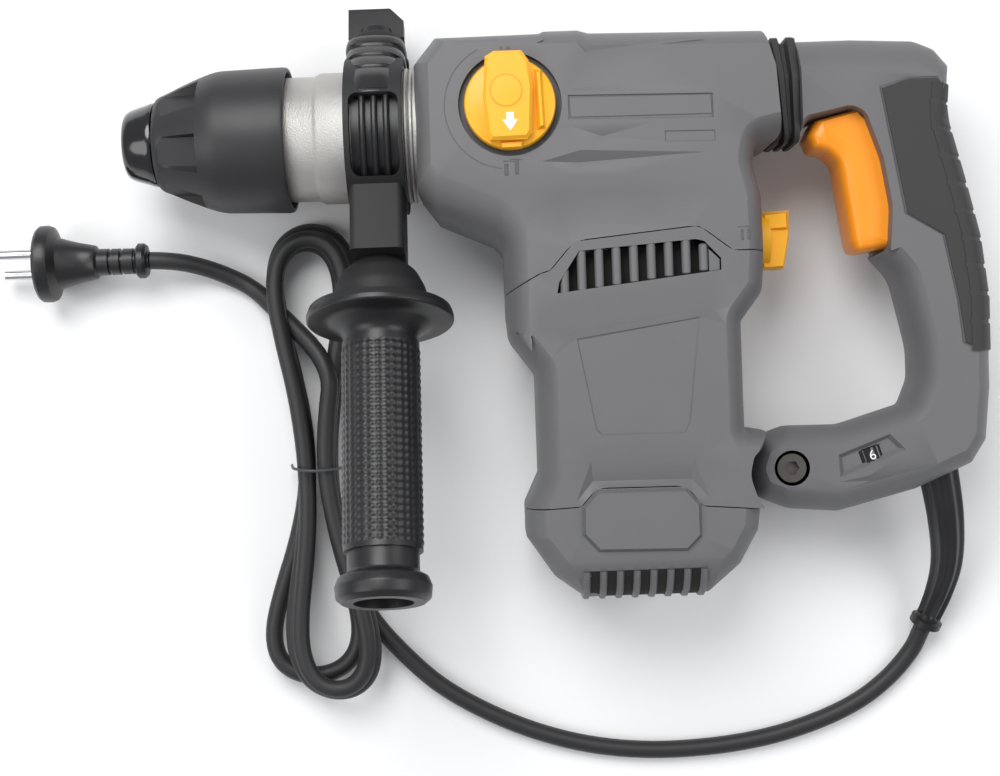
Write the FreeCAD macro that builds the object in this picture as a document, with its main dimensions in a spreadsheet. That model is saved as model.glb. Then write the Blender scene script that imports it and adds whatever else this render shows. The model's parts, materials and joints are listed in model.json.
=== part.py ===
import FreeCAD, Part
import math
import os
import Sketcher
from FreeCAD import Placement, Rotation, Vector

# Rotary hammer lying on its side. X runs back along the barrel from the chuck, Y runs up through the
# barrel away from the motor, Z is the width. The far side face rests on Z = 0.
SIZES = {
    "nose_x": -197.0,       # front of the dust cap
    "barrel_y": 74.0,       # barrel axis
    "barrel_z": 45.0,       # barrel axis above the surface it lies on
    "half_width": 45.0,     # gear and motor housings
    "wall": 3.0,
    "chamfer": 9.0,         # sloping band round the housing sides
    "socket_radius": 5.05,  # for a 10 mm bit shank
    "socket_depth": 40.0,
    "collar_radius": 30.0,
    "sleeve_radius": 33.4,
    "tube_bore": 13.7,
    "armature_x": 229.0,
    "crank_x": 259.0,
    "bevel_x": 199.0,
    "crank_throw": 11.0,
    "handle_x": 116.0,      # side handle
    "handle_tilt": 17.0,
    "grip_radius": 16.6,
    "flange_radius": 33.0,
    "knob_x": 177.0,        # mode knob
    "knob_y": 5.5,
    "knob_radius": 20.0,
    "pivot_x": 298.5,       # D-handle bolt
    "pivot_y": -158.5,
    "pivot_radius": 19.5,
    "handle_half": 22.0,    # half width of the D-handle
    "trigger_x": 330.5,     # trigger pin
    "trigger_y": 6.5,
    "dial_x": 335.0,
    "dial_y": -154.0,
    "selector_y": -54.0,
    "cord_radius": 4.2,
}
doc = FreeCAD.newDocument("RotaryHammer")
sheet = doc.addObject("Spreadsheet::Sheet", "Sizes")
for row, (name, value) in enumerate(SIZES.items(), 1):
    sheet.set(f"A{row}", name)
    sheet.set(f"B{row}", str(value))
    sheet.setAlias(f"B{row}", name)
doc.recompute()
size = {name: sheet.get(name) for name in SIZES}
half = size["half_width"]
wall = size["wall"]
PLANES = {"X": "YZ_Plane", "Y": "XZ_Plane", "Z": "XY_Plane"}
bodies = []


def number(value):
    """A sheet alias's number, or the number itself."""
    return size[value] if isinstance(value, str) else value


def term(value):
    return f"Sizes.{value}" if isinstance(value, str) else repr(float(value))


def place(item, x=0, y=0, z=0, axis=Vector(0, 0, 1), angle=0):
    """Puts an object at a place counted from the barrel axis at the front of the dust cap."""
    item.Placement = Placement(Vector(0, 0, 0), Rotation(axis, number(angle)))
    for letter, origin, value in (("x", "nose_x", x), ("y", "barrel_y", y), ("z", "barrel_z", z)):
        item.setExpression(f".Placement.Base.{letter}", f"Sizes.{origin} + {term(value)}")


def body(label, x=0, y=0, z=0, axis=Vector(0, 0, 1), angle=0):
    item = doc.addObject("PartDesign::Body", label)
    item.Label = label
    item.AllowCompound = True
    place(item, x, y, z, axis, angle)
    bodies.append(item)
    return item


def circle(x, y, radius):
    return ("circle", x, y, radius)


def rounded(points):
    """A closed outline from (x, y) or (x, y, corner radius) points, its corners as tangent arcs."""
    ends = []
    for i, point in enumerate(points):
        at = Vector(point[0], point[1], 0)
        radius = point[2] if len(point) > 2 else 0
        before = Vector(*points[i - 1][:2], 0) - at
        after = Vector(*points[(i + 1) % len(points)][:2], 0) - at
        if radius == 0:
            ends.append((at, at, None))
            continue
        turn = before.getAngle(after)
        reach = radius / math.tan(turn / 2)
        before.normalize()
        after.normalize()
        middle = before + after
        middle.normalize()
        top = at + middle * (radius / math.sin(turn / 2) - radius)
        ends.append((at + before * reach, at + after * reach, top))
    edges = []
    for i, (start, stop, top) in enumerate(ends):
        if top is not None:
            edges.append(Part.Arc(start, top, stop))
        edges.append(Part.LineSegment(stop, ends[(i + 1) % len(ends)][0]))
    return edges


def inset(points, depth):
    """The same outline moved inwards by one wall; the points run clockwise."""
    moved = []
    for i, point in enumerate(points):
        at = Vector(point[0], point[1], 0)
        into = at - Vector(*points[i - 1][:2], 0)
        out = Vector(*points[(i + 1) % len(points)][:2], 0) - at
        into.normalize()
        out.normalize()
        left = Vector(into.y, -into.x, 0) + Vector(out.y, -out.x, 0)
        left.multiply(2 * depth / left.Length ** 2)
        moved.append((at.x + left.x, at.y + left.y))
    return moved


def sketch(item, axis, start, loops):
    sk = item.newObject("Sketcher::SketchObject", f"{item.Label}_sketch")
    origin = next(o for o in item.Origin.OriginFeatures if o.Role == PLANES[axis])
    sk.AttachmentSupport = [(origin, "")]
    sk.MapMode = "FlatFace"
    sign = -1 if axis == "Y" else 1
    sk.AttachmentOffset = Placement(Vector(0, 0, sign * number(start)), Rotation())
    for shape in loops:
        if shape[0] == "circle":
            centre = Vector(number(shape[1]), number(shape[2]), 0)
            index = sk.addGeometry(Part.Circle(centre, Vector(0, 0, 1), number(shape[3])), False)
            where = sk.addConstraint(Sketcher.Constraint("Radius", index, number(shape[3])))
            if isinstance(shape[3], str):
                sk.setExpression(f"Constraints[{where}]", f"Sizes.{shape[3]}")
        else:
            sk.addGeometry(rounded(shape), False)
    return sk


def extrude(item, kind, axis, start, length, loops, taper=0):
    """A Pad or a Pocket that runs from start towards + along the axis."""
    before = item.Shape.Volume if item.Tip else 0
    sk = sketch(item, axis, start, loops)
    feature = item.newObject(f"PartDesign::{kind}", f"{item.Label}_{kind.lower()}")
    feature.Profile = sk
    feature.Length = number(length)
    if isinstance(length, str):
        feature.setExpression("Length", f"Sizes.{length}")
    feature.Reversed = (axis == "Y") != (kind == "Pocket")
    if taper:
        feature.TaperAngle = taper
    doc.recompute()
    if kind == "Pocket" and item.Shape.Volume > before - 0.01:
        raise RuntimeError(f"{item.Label}: a pocket cuts nothing")
    return feature


def pad(item, axis, start, length, *loops, taper=0):
    return extrude(item, "Pad", axis, start, length, loops, taper)


def pocket(item, axis, start, length, *loops):
    return extrude(item, "Pocket", axis, start, length, loops)


def turned(item, axis, profile, kind="Revolution"):
    """A turned piece: profile is (place along the axis, radius) points."""
    across = axis == "X"
    points = profile if across else [(p[1], p[0], *p[2:]) for p in profile]
    sk = sketch(item, "Y" if axis == "Z" else "Z", 0, [points])
    feature = item.newObject(f"PartDesign::{kind}", f"{item.Label}_turned")
    feature.Profile = sk
    feature.ReferenceAxis = (sk, ["H_Axis" if across else "V_Axis"])
    feature.Angle = 360
    doc.recompute()
    return feature


def ring(item, axis, start, stop, inner, outer, kind="Revolution"):
    corners = [(start, inner), (start, outer), (stop, outer), (stop, inner)]
    return turned(item, axis, corners, kind)


def box(x0, y0, x1, y1, radius=0):
    return [(x, y, radius) if radius else (x, y) for x, y in ((x0, y0), (x0, y1), (x1, y1), (x1, y0))]


def polar(item, feature, axis, count):
    """Repeats a feature round an axis of the body."""
    pattern = item.newObject("PartDesign::PolarPattern", f"{item.Label}_pattern")
    pattern.Originals = [feature]
    line = next(o for o in item.Origin.OriginFeatures if o.Role == f"{axis}_Axis")
    pattern.Axis = (line, [""])
    pattern.Angle = 360
    pattern.Occurrences = count
    item.Tip = pattern
    doc.recompute()


def gear_outline(teeth, tip, root, phase=0.0):
    """Trapezoid teeth, three tenths of the pitch wide at the tip."""
    points = []
    pitch = 2 * math.pi / teeth
    for i in range(teeth):
        for radius, share in ((root, -0.22), (tip, -0.13), (tip, 0.13), (root, 0.22)):
            angle = (i + phase + share) * pitch
            points.append((radius * math.cos(angle), radius * math.sin(angle)))
    return points


# ---------------------------------------------------------------- housings
GEAR_OUTLINE = [
    (134.5, 27), (144, 38.5, 4), (190, 39), (194, 40.5), (208, 40.5), (213, 39), (293, 37.5),
    (296, 19), (296.5, -11), (286, -13, 3), (284.5, -22, 6), (288, -36, 30), (288.5, -60),
    (272, -61), (257.5, -50, 3), (203, -55, 3), (192, -67.5, 3), (188, -68.5), (172, -77),
    (172, -56, 4), (168, -51.5, 3), (143, -40.5), (134.5, -29),
]
MOTOR_OUTLINE = [
    (172, -77), (188, -68.5), (192, -67.5, 3), (203, -55, 3), (257.5, -50, 3), (272, -61),
    (288.5, -60), (287, -79, 20), (277, -92, 12), (277, -141), (286, -141, 2), (284, -146),
    (277.5, -153), (276.5, -160), (279.5, -168.5), (284, -173.5), (283, -175), (177, -172),
    (184.7, -160, 10), (184.7, -112, 14), (173, -96, 14), (172, -79),
]
CAP_OUTLINE = [
    (177, -172), (283, -175), (281.5, -185, 3), (273, -200, 4), (258, -212.5, 3), (203.5, -213, 3),
    (190, -203), (182, -191, 4), (177, -185, 3),
]


def shell(label, outline, cavity):
    """A closed housing: a straight middle with both side faces sloping in, and a hollow inside."""
    item = body(label)
    straight = half - size["chamfer"]
    pad(item, "Z", -straight, 2 * straight, outline)
    slope = inset(outline, 5)
    for side in (-1, 1):
        loft = item.newObject("PartDesign::AdditiveLoft", f"{label}_side")
        plain = [point[:2] for point in outline]
        loft.Profile = sketch(item, "Z", side * straight, [plain])
        loft.Sections = [sketch(item, "Z", side * half, [slope])]
        loft.Ruled = True
        doc.recompute()
    pocket(item, "Z", -half + wall, 2 * (half - wall), cavity)
    return item


gear_housing = shell("gear_housing", GEAR_OUTLINE, [
    (139, 24), (146, 34.5), (284, 34), (286, -40), (284.5, -58), (273, -58), (258, -46.5),
    (201, -51.5), (190, -64.5), (176, -71), (176, -50), (146, -37), (139, -26)])
pocket(gear_housing, "Y", -80, 38, box(179, -31, 283, 31))                    # down to the motor
pocket(gear_housing, "X", 130, 12, circle(0, 0, 30.2))                       # collar seat
pocket(gear_housing, "Z", half - wall - 1, 12, circle("knob_x", "knob_y", 8))  # mode shaft
pocket(gear_housing, "Z", half - 2.5, 4, circle("knob_x", "knob_y", 22.3))   # mode knob recess
pocket(gear_housing, "X", 282, 12, circle("selector_y", 0, 5))               # selector spindle
pocket(gear_housing, "Z", half - 0.8, 3, box(202.5, -2.3, 265.5, 8, 1), box(244, -13, 266, -8.3, 0.8))

motor_housing = shell("motor_housing", MOTOR_OUTLINE, [
    (176, -79), (190, -70), (203, -60), (258, -54), (273, -64), (283, -66), (281, -79), (273.5, -91),
    (273.5, -169), (186, -169), (188.2, -158), (188.2, -113), (176.5, -95)])
pocket(motor_housing, "Y", -85, 40, box(189, -31, 272, 31))                    # up to the gears
pocket(motor_housing, "Y", -180, 20, box(190, -38, 272, 38, 6))                # down to the end cap
VENT_TOP = [(195.5, -76.5), (196, -72.5, 2), (205, -60, 3), (256, -56.5, 3), (266, -65, 2), (266, -69)]
vent = [pocket(motor_housing, "Z", z, 14, VENT_TOP) for z in (half - 12, -half - 2)]
FIN_PITCH = 7.7
fins = []
for i in range(9):
    x = 198.4 + i * FIN_PITCH
    low, high = -77.0 + i * 0.95, min(-57 + i * 0.45, -66 + (i - 0.4) * 9)
    fins.append(box(x - 1.9, low, x + 1.9, high))
pad(motor_housing, "Z", half - 7, 6.2, *fins)
pad(motor_housing, "Z", -half + 0.8, 6.2, *fins)
pocket(motor_housing, "Z", half - 0.6, 2, [(202.5, -97.5), (256.5, -90), (250.5, -138, 4), (210, -139.5, 3)])
pad(motor_housing, "Z", -8, 16, circle("pivot_x", "pivot_y", 12))
pad(motor_housing, "Z", -8, 16, box(273, -168, 296, -149))
pocket(motor_housing, "Z", -9, 18, circle("pivot_x", "pivot_y", 4.1))

end_cap = shell("motor_end_cap", CAP_OUTLINE, [
    (181, -170), (278.5, -170), (277.5, -184), (270, -197), (257, -208.8), (205, -208.8), (192.5, -200),
    (185, -189), (181, -184)])
COVER = [(202, -171, 1), (209, -163, 1), (248, -163.5, 1), (254.5, -171, 1), (254.5, -185, 2),
         (247.5, -191, 2), (209, -191, 2), (202, -184, 2)]
pad(end_cap, "Z", half - 1, 3, COVER)
pocket(motor_housing, "Z", half - 1.1, 3, COVER)
SLOTS = [206.5 + i * 7.45 for i in range(7)]
for start in (half - 12, -half - 2):
    pocket(end_cap, "Z", start, 14, *(box(x - 2.2, -210, x + 2.2, -198, 1) for x in SLOTS))
pocket(end_cap, "Y", -216, 8, *(box(x - 2.2, -34, x + 2.2, 34, 1) for x in SLOTS))

COLLAR = size["collar_radius"]
nose = body("nose_casting")
turned(nose, "X", [
    (70, 22.5), (70, 28), (73, 28.5), (88, 28.5), (91, COLLAR), (129.6, COLLAR), (129.6, 31), (131, 31),
    (131, 30.2), (131.8, 30.2), (131.8, 31), (133.4, 31), (133.4, 30.1), (142, 30.1), (142, 22.5)])

bellows = body("bellows")
RIB = 2.26
for i in range(5):
    ridge = 0 if i % 2 == 0 else 2.2
    start = 296.6 + RIB * i
    pad(bellows, "X", start, RIB, box(-11 + ridge, -20 + ridge, 36.5 - ridge, 20 - ridge, 7))
pocket(bellows, "X", 290, 20, box(-5, -14, 29, 14, 4))

bridge = body("bearing_bridge")
pad(bridge, "Y", -63, 5, box(190, -31, 271, 31, 3))
pocket(bridge, "Y", -66, 12, circle("armature_x", 0, 11), circle("crank_x", 0, 6.1),
       circle("bevel_x", 0, 5.1))

# ---------------------------------------------------------------- motor
MOTOR = dict(x="armature_x")
stator = body("stator_core", **MOTOR)
pad(stator, "Y", -150, 56, circle(0, 0, 39.5))
pocket(stator, "Y", -151, 58, circle(0, 0, 25), box(-46, 37, 46, 46), box(-46, -46, 46, -37))

windings = body("stator_windings", **MOTOR)
for start in (-158, -94):
    pad(windings, "Y", start, 8, circle(0, 0, 36))
pocket(windings, "Y", -159, 74, circle(0, 0, 26.5))

shaft = body("armature_shaft", **MOTOR)
turned(shaft, "Y", [
    (-204, 0), (-204, 3.9), (-196, 3.9), (-196, 5), (-64, 5), (-64, 4), (-50, 4), (-50, 0)])
pad(shaft, "Y", -50, 15, gear_outline(10, 5.8, 3.6, 0.5))

core = body("armature_core", **MOTOR)
pad(core, "Y", -149, 54, gear_outline(12, 24.4, 19))
pocket(core, "Y", -150, 56, circle(0, 0, 5))

commutator = body("commutator", **MOTOR)
pad(commutator, "Y", -184, 18, gear_outline(24, 12.5, 12))
pocket(commutator, "Y", -185, 20, circle(0, 0, 5))

fan = body("cooling_fan", **MOTOR)
pad(fan, "Y", -84, 2, circle(0, 0, 34))
pad(fan, "Y", -84, 11, circle(0, 0, 9))
blade = pad(fan, "Y", -83, 9, [(13, -1), (13, 1), (33, 3), (33, 1)])
polar(fan, blade, "Y", 12)
pocket(fan, "Y", -85, 14, circle(0, 0, 5))

brushes = body("carbon_brushes", **MOTOR)
holders = body("brush_holders", **MOTOR)
for side in (-1, 1):
    near, far = sorted((side * 13, side * 27))
    pad(brushes, "Y", -179, 8, box(near, -3, far, 3))
    near, far = sorted((side * 15, side * 33))
    pad(holders, "Y", -182, 14, box(near, -6, far, 6))
pocket(holders, "Y", -179.05, 8.1, box(-28, -3.05, 28, 3.05))

armature_bearings = body("armature_bearings", **MOTOR)
ring(armature_bearings, "Y", -203, -197, 3.9, 11)
ring(armature_bearings, "Y", -63, -58, 5, 11)
pad(end_cap, "Y", -209, 12, circle("armature_x", 0, 15))
pocket(end_cap, "Y", -205, 8.5, circle("armature_x", 0, 11))

# ---------------------------------------------------------------- crank, bevel gears and spindle
crank = body("crank_gear", x="crank_x")
turned(crank, "Y", [(-64, 0), (-64, 6), (-46, 6), (-46, 9), (-24, 9), (-24, 19), (-15, 19), (-15, 0)])
pad(crank, "Y", -45, 7, gear_outline(50, 25.8, 23.8))

bevel = body("bevel_pinion", x="bevel_x")
turned(bevel, "Y", [(-64, 0), (-64, 5), (-46, 5), (-46, 7), (-30, 7), (-30, 0)])
pad(bevel, "Y", -45, 7, gear_outline(50, 25.8, 23.8))


def cone_gear(item, axis, near, far, teeth, tip, root, scale, phase):
    """A straight bevel gear: the tooth outline shrinks towards the cone's point."""
    loft = item.newObject("PartDesign::AdditiveLoft", f"{item.Label}_teeth")
    loft.Profile = sketch(item, axis, near, [gear_outline(teeth, tip, root, phase)])
    loft.Sections = [sketch(item, axis, far, [gear_outline(teeth, tip * scale, root * scale, phase)])]
    loft.Ruled = True
    doc.recompute()


cone_gear(bevel, "Y", -29, -23.2, 12, 11.2, 9.6, 0.8, 0)
ring_gear = body("ring_bevel_gear")
cone_gear(ring_gear, "X", 187, 191.8, 28, 27.2, 25.4, 0.84, 0.5)
pad(ring_gear, "X", 178, 9, circle(0, 0, 26.2))
pocket(ring_gear, "X", 177, 16, circle(0, 0, 18))

BORE = size["tube_bore"]
SOCKET = size["socket_radius"]
SOCKET_END = 4 + size["socket_depth"]
holder = body("tool_holder")
turned(holder, "X", [
    (4, SOCKET), (4, 11), (60, 11), (60, 15), (100, 15), (100, 8), (SOCKET_END + 14, 8),
    (SOCKET_END + 14, SOCKET + 0.4), (SOCKET_END, SOCKET + 0.4), (SOCKET_END, SOCKET)])
pocket(holder, "Z", -14, 28, box(24, -2, 36, 2, 1.9))                # two slots for the locking balls
tube = body("hammer_tube")
turned(tube, "X", [(88, 15), (88, 18), (222, 18), (222, BORE), (100, BORE), (100, 15)])

balls = body("locking_balls")
for side in (-1, 1):
    turned_ball = balls.newObject("PartDesign::AdditiveSphere", "ball")
    turned_ball.Radius = 1.8
    turned_ball.Placement = Placement(Vector(30, 0, side * 7.2), Rotation())
doc.recompute()

cap = body("dust_cap")
turned(cap, "X", [(0, 8.5), (0, 13, 2), (5, 16.5, 2), (14, 19.5), (14, 11), (4, 11), (4, 8.5)])

sleeve = body("chuck_sleeve")
turned(sleeve, "X", [
    (15, 16), (15, 21), (44, 32.5, 6), (74, size["sleeve_radius"]), (76, 32.8), (76, 30.9), (60, 30.4),
    (46, 28), (30, 20), (30, 16)])
thumb = pocket(sleeve, "Z", 23.4, 16, [(21, -7, 1), (21, 7, 1), (36, 9.5, 1), (36, -9.5, 1)])
polar(sleeve, thumb, "X", 6)

spring = body("chuck_spring")
ring(spring, "X", 34, 56, 11.4, 15.4)

spindle_bearings = body("spindle_bearings")
ring(spindle_bearings, "X", 104, 116, 18, 22.5)
ring(spindle_bearings, "X", 142.5, 154, 18, 26)

# ---------------------------------------------------------------- hammer mechanism
piston = body("piston")
turned(piston, "X", [
    (172, 0), (172, 13.65), (176, 13.65), (176, 12.9), (178, 12.9), (178, 13.65), (192, 13.65), (192, 0)])
pocket(piston, "Y", -4.6, 9.2, box(179, -8, 194, 8))
pad(piston, "Y", -4.6, 9.2, circle(185, 0, 2.9))

rod = body("connecting_rod")
pad(rod, "Y", -4, 8, circle(185, 0, 6))
pad(rod, "Y", -4, 8, box(186, -3.5, 246, 3.5))
pad(rod, "Y", -4, 8, circle(248, 0, 9))
pad(rod, "Y", -14.2, 12, circle(248, 0, 4))                       # crank pin
pocket(rod, "Y", -5, 10, circle(185, 0, 3))

striker = body("striker")
turned(striker, "X", [
    (112, 0), (112, 6), (122, 6), (122, 13.65), (126, 13.65), (126, 12.9), (128, 12.9), (128, 13.65),
    (148, 13.65), (148, 0)])
beat = body("beat_piece")
turned(beat, "X", [(46, 0), (46, 4.6), (60, 4.6), (60, 7.9), (84, 7.9), (84, 5.5), (94, 5.5), (94, 0)])

# ---------------------------------------------------------------- side handle
# Its own frame: Y runs along the handle towards the wing knob, X is still the barrel.
TILT = dict(x="handle_x", axis=Vector(1, 0, 0), angle=-size["handle_tilt"])
GRIP = size["grip_radius"]
yoke = body("handle_yoke", **TILT)
turned(yoke, "Y", [(49, 0), (49, 12.5), (47, 13.3), (27, 13.3), (27, 0)])
ring(yoke, "X", -13, 13, COLLAR + 0.08, COLLAR + 6)
pad(yoke, "Y", -62, 32, box(-12, -18, 12, 18, 3))
turned(yoke, "Y", [(-84, 0), (-84, 21, 2), (-76, 21, 8), (-68, 17, 8), (-61, 9), (-61, 0)])
ring(yoke, "Y", 31, 32.6, 13, 15, "Groove")
ring(yoke, "Y", 36.5, 38.1, 13, 15)
ring(yoke, "Y", 42, 43.6, 13, 15, "Groove")
pocket(yoke, "Z", -50, 66, box(-9.5, -58, 9.5, -38, 2))              # room for the strap and its bolt
pocket(yoke, "X", -14, 28, circle(0, 0, COLLAR + 0.08))
pocket(yoke, "X", -16, 32, circle(42, 0, 4.25))                    # depth rod hole, along the barrel
pocket(yoke, "Y", -90, 40, circle(0, 0, 4.6))
pocket(yoke, "Z", 14, 40, box(-10.5, -29, 11.5, 5, 4))             # window in the clamp band
pocket(yoke, "Y", 40, 12, circle(0, 0, 3.3))

bolt = body("clamp_bolt", **TILT)
turned(bolt, "Y", [(-150, 0), (-150, 4), (-50, 4), (-50, 8.5), (-44, 8.5), (-44, 0)])
strap = body("clamp_strap", **TILT)
pad(strap, "X", -7, 14, box(-43.4, -14, -41.4, 14))
side_grip = body("side_grip", **TILT)
turned(side_grip, "Y", [
    (-84.4, 4.4), (-84.4, 18), (-85.5, size["flange_radius"] - 1), (-88.5, size["flange_radius"], 1),
    (-91, size["flange_radius"], 1), (-92, 24), (-97, GRIP, 6), (-204, GRIP - 1, 2), (-206, 19.5, 2),
    (-210, 21, 2), (-215, 20.5, 2), (-217, 18), (-217, 13), (-155, 11.5), (-155, 4.4)])
cover = body("grip_cover", **TILT)
ring(cover, "Y", -195, -101, GRIP + 0.02, GRIP + 0.9)
pocket(cover, "Y", -197, 98, box(-20, -20, -9.5, 20))
wing = body("depth_lock_knob", **TILT)
pad(wing, "X", -13, 26, [(49.3, -4.2), (49.3, 4.2), (66, 3.4, 2), (66, -3.4, 2)])
pocket(wing, "Z", -6, 12, [(5, 67), (14, 67), (14, 57)])
turned(wing, "Y", [(46.5, 0), (46.5, 3), (49.3, 3), (49.3, 9), (54, 8), (54, 0)])

# ---------------------------------------------------------------- controls on the housing
mode_shaft = body("mode_shaft", x="knob_x", y="knob_y")
pad(mode_shaft, "Z", 33, 8, circle(0, 0, 13))
pad(mode_shaft, "Z", 41, 1.8, circle(0, 0, 7.9))
knob = body("mode_knob", x="knob_x", y="knob_y")
pad(knob, "Z", half - 2.1, 6, circle(0, 0, "knob_radius"))
pad(knob, "Z", half + 3, 5.5, [(-10, 21, 4), (7.5, 21, 4), (8.5, -14, 3), (-9, -14, 3)])
pad(knob, "Z", half + 3, 2.5, box(10.5, -11, 15, 14, 2))
pocket(knob, "Z", half, 12, circle(-1.5, 4.5, 7.2))
button = body("mode_button", x="knob_x", y="knob_y")
pad(button, "Z", half + 2, 7, circle(-1.5, 4.5, 7.0))
selector = body("rear_selector_knob", y="selector_y")
pad(selector, "X", 289.2, 3, circle(0, 0, 13))
pad(selector, "X", 292, 12, box(-14, -6, 14, 6, 2))
pad(selector, "X", 283, 7, circle(0, 0, 4.9))

# ---------------------------------------------------------------- D-handle
SIDE = size["handle_half"]
D_OUTER = [
    (308, 36.5), (334, 36.5), (363, 34.5, 20), (370, 32), (378, 23, 3), (376.5, 6), (377.5, -4), (384, -30),
    (390, -56, 30), (393, -84, 40), (392.5, -125), (390, -149, 6), (383, -160), (360, -172), (357, -170),
    (321, -180), (299, -178), (286, -173.5, 12), (279, -158.5, 16), (286, -143.5, 12), (299, -139.8),
    (324, -140, 30), (353, -131.5, 8), (358, -120, 20), (358, -106, 60), (351, -74, 60), (349, -68),
    (341.5, -65, 2), (341.5, -63.2), (346, -62.2), (347.5, -42), (344, -20), (337, 1), (334, 3.5), (312, -1),
    (308, -9)]
D_NOTCH = [(341.5, -65), (341.5, -63.2)]         # step where the trigger ends
D_WALL = inset([point for point in D_OUTER if point[:2] not in D_NOTCH], wall)
TRIGGER = [(312.5, -8, 2), (316, -2, 3), (333, 0.8, 3), (336, -4, 3), (342, -24, 60), (345, -42, 40),
           (344.5, -60, 2), (333, -62, 3), (331, -57), (326, -20, 5), (321, -15.5, 4), (315, -14, 2)]
TRIGGER_SLOT = [(309, -16), (309, 3), (338, 3), (352, -18), (357, -42), (357, -64), (330, -64.5), (330, -40)]
REAR_EDGE = [(377.2, 12), (376.5, 6), (377.5, -4), (384, -30), (390, -56), (393, -84), (392.8, -112)]
RUBBER = [(343, 12.5, 3), (357, 15.5), (371, 15.5), *REAR_EDGE, (377, -105, 3), (375, -85), (369.5, -56, 3),
          (352.7, -45.5, 3)]
SKIN = 2.0


def handle_shell(label, start):
    """One half of the D-handle, split down the middle, with its share of the barrel round the bolt."""
    near = start == 0
    item = body(label)
    pad(item, "Z", start, "handle_half", D_OUTER)
    pocket(item, "Z", 0 if near else start + 4, SIDE - 4, D_WALL)
    pocket(item, "Z", SIDE - SKIN if near else -SIDE, SKIN, RUBBER)
    pad(item, "Z", 8.5 if near else 1 - SIDE, SIDE - 9.5, circle("pivot_x", "pivot_y", 15))
    pocket(item, "Z", start - 1, SIDE + 2, circle("pivot_x", "pivot_y", 4.15))
    pocket(item, "Z", -8.5, 17, box(272, -170, 292, -147))
    pocket(item, "Z", -15.4, 30.8, TRIGGER_SLOT)
    pocket(item, "Z", -6.4, 12.8, box(323.5, -5, 337.5, 12))              # room for the trigger's lug
    pocket(item, "Z", -18.2, 36.4, circle("trigger_x", "trigger_y", 1.6))  # seat of the trigger pin
    pocket(item, "Y", -185, 30, circle(371, -1.2, 8.8))                # way out for the cord boot
    return item


near_shell = handle_shell("handle_shell_near", 0)
pocket(near_shell, "Z", SIDE - 5, 6, circle("pivot_x", "pivot_y", 8.2))
far_shell = handle_shell("handle_shell_far", -SIDE)
DIAL_TURN = math.radians(18)


def slanted(length, width):
    """A rectangle in line with the D-handle's lower arm, round the speed dial."""
    along = Vector(math.cos(DIAL_TURN), math.sin(DIAL_TURN), 0)
    across = Vector(-along.y, along.x, 0)
    middle = Vector(size["dial_x"], size["dial_y"], 0)
    corners = [middle + along * (length * u) + across * (width * v)
               for u, v in ((-0.5, -0.5), (-0.5, 0.5), (0.5, 0.5), (0.5, -0.5))]
    return [(point.x, point.y) for point in corners]


pocket(near_shell, "Z", SIDE - 5, 6, slanted(24, 9.4))
dial = body("speed_dial", x="dial_x", y="dial_y", z=8, angle=18)
turned(dial, "Y", [(-4, 0), (-4, 13, 0.5), (4, 13, 0.5), (4, 0)])
rubber = body("grip_overmould")
for start in (-SIDE, SIDE - SKIN):
    pad(rubber, "Z", start, SKIN, RUBBER)
pad(rubber, "Z", -SIDE, 2 * SIDE, REAR_EDGE + [(x + 1.5, y) for x, y in reversed(REAR_EDGE)])
pivot = body("pivot_bolt", x="pivot_x", y="pivot_y")
pad(pivot, "Z", -18, 35.2, circle(0, 0, 4.05))
pad(pivot, "Z", 17, 4, circle(0, 0, 6.5))
HEXAGON = [(3.4 * math.cos(a * math.pi / 3), -3.4 * math.sin(a * math.pi / 3)) for a in range(6)]
pocket(pivot, "Z", 17.5, 4, HEXAGON)
trigger = body("trigger")
pad(trigger, "Z", -15, 30, TRIGGER)
pad(trigger, "Z", -6, 12, box(325.5, -3, 335.5, 10))
pocket(trigger, "Z", -7, 14, circle("trigger_x", "trigger_y", 1.6))
trigger_pin = body("trigger_pin")
pad(trigger_pin, "Z", 4 - SIDE, 2 * SIDE - 8, circle("trigger_x", "trigger_y", 1.5))
switch = body("switch_block")
pad(switch, "Z", -13, 26, box(360, -54, 375, -16, 1))
controller = body("speed_controller")
pad(controller, "Z", -12, 24, box(363, -149, 378, -118, 1))
clamp = body("cord_clamp")
pad(clamp, "Z", -8, 16, box(362, -156.5, 376, -151, 1))
springs = body("handle_springs")
for y in (3, 21):
    pad(springs, "X", 296.7, 11.2, circle(y, 0, 5))
    pocket(springs, "X", 296, 12, circle(y, 0, 3.4))
screws = body("handle_screws")
for x, y in ((322, 22), (366, 22), (364, -76), (384, -142), (326, -171)):
    pad(screws, "Z", 3 - SIDE, 14, circle(x, y, 1.9))
    pad(screws, "Z", -SIDE - 0.4, 3.4, circle(x, y, 3.5))
    pad(far_shell, "Z", 0.5 - SIDE, 18, circle(x, y, 5))
    pocket(far_shell, "Z", -SIDE - 1, 4, circle(x, y, 3.6))
    pocket(far_shell, "Z", -SIDE - 1, 20, circle(x, y, 1.95))
case_screws = body("housing_screws")
for x, y in ((145, 28), (145, -30), (282, 30), (282, -52)):
    pad(case_screws, "Z", 0.3 - half, 3.5, circle(x, y, 3.6))
    pocket(gear_housing, "Z", -half - 1, 4.9, circle(x, y, 3.65))

# ---------------------------------------------------------------- cord, hank and plug
CORD = size["cord_radius"]
LAID = CORD + 0.1 - size["barrel_z"]        # centre height of a cord that lies on the surface


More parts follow.
